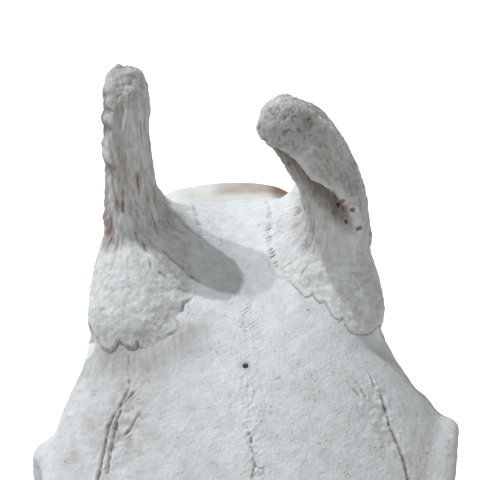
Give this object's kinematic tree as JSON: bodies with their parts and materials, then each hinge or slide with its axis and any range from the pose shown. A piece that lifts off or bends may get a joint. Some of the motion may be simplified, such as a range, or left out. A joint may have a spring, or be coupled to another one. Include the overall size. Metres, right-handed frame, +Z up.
{
  "type": "giraffe skull",
  "caption": "Life-size dry giraffe skull with its lower jaw, long tapering snout, round eye sockets and uneven bony ossicones, resting on chin and jaw angles.",
  "frame": {"origin": "below the middle of the skull's bounding box, on the surface that the chin and the angles of the jaw rest on", "axes": "+X to the animal's left, +Y from the snout back to the nape, +Z up"},
  "size_m": [0.2184, 0.6366, 0.3538],
  "materials": {
    "skull_bone": null,
    "ossicone_bone": null,
    "jaw_bone": null
  },
  "bodies": {
    "root": {"ossicone_left": "ossicone_bone", "ossicone_right": "ossicone_bone", "occipital": "skull_bone", "temporal_left": "skull_bone", "temporal_right": "skull_bone", "parietal": "skull_bone", "nasal_left": "skull_bone", "nasal_right": "skull_bone", "frontal_left": "skull_bone", "frontal_right": "skull_bone", "zygomatic_left": "skull_bone", "zygomatic_right": "skull_bone", "premaxilla_left": "skull_bone", "premaxilla_right": "skull_bone", "sphenoid": "skull_bone", "maxilla_left": "skull_bone", "maxilla_right": "skull_bone", "mandible_left": "jaw_bone", "mandible_right": "jaw_bone"}
  },
  "joints": []
}
